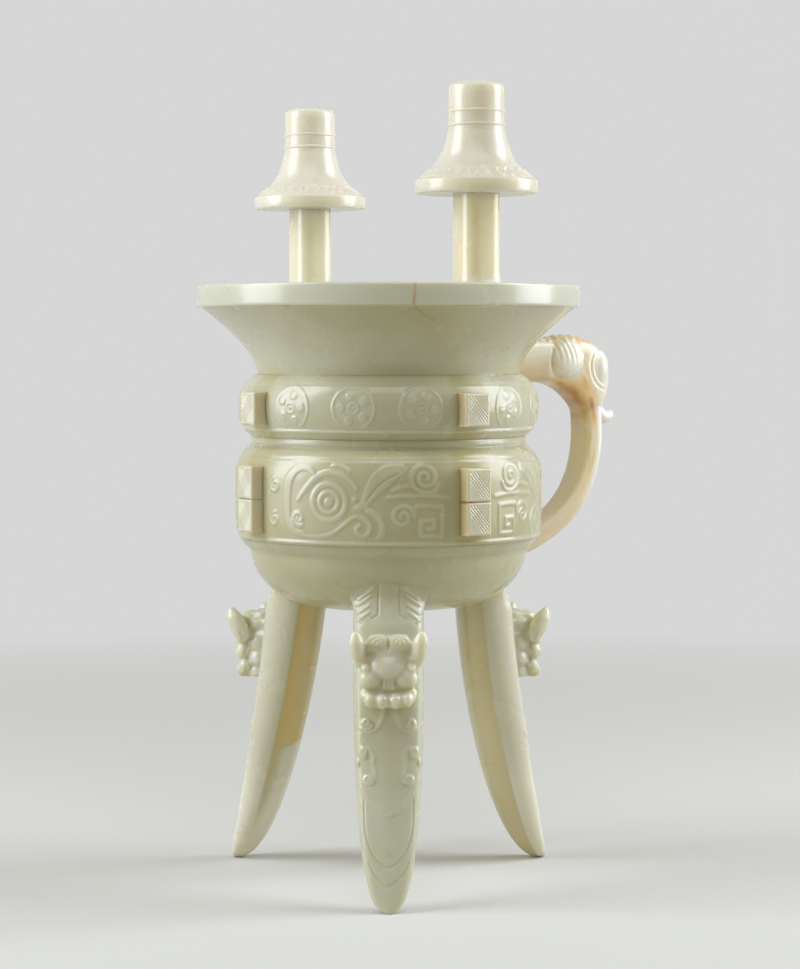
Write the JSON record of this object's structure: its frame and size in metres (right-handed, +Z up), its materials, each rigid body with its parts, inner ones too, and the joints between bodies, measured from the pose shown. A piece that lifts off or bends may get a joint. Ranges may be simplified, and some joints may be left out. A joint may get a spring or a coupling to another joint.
{
  "type": "jade jia vessel",
  "caption": "Archaic wine vessel in pale jade: flared bowl with carved bands on blade legs with beast masks, capped rim posts and a beast-headed strap handle.",
  "frame": {"origin": "on the floor plane, at the middle of the overall box", "axes": "+Z up along the vessel's upright axis, +X toward the handle, posts toward +Y and -Y"},
  "size_m": [0.1478, 0.1428, 0.25],
  "materials": {
    "pale_jade": "polished",
    "cream_jade": "polished",
    "russet_jade": "polished"
  },
  "bodies": {
    "root": {"bowl": "pale_jade", "handle_leg": "pale_jade", "handle_leg_mask": "pale_jade", "left_leg": "pale_jade", "left_leg_mask": "pale_jade", "right_leg": "pale_jade", "right_leg_mask": "pale_jade", "left_post": "cream_jade", "left_post_cap": "cream_jade", "right_post": "cream_jade", "right_post_cap": "cream_jade", "handle_head": "russet_jade", "handle_strap": "russet_jade", "left_upper_flange": "cream_jade", "left_lower_flange_top": "cream_jade", "left_lower_flange_foot": "cream_jade", "front_upper_flange": "cream_jade", "front_lower_flange_top": "cream_jade", "front_lower_flange_foot": "cream_jade", "right_upper_flange": "cream_jade", "right_lower_flange_top": "cream_jade", "right_lower_flange_foot": "cream_jade"}
  },
  "joints": []
}
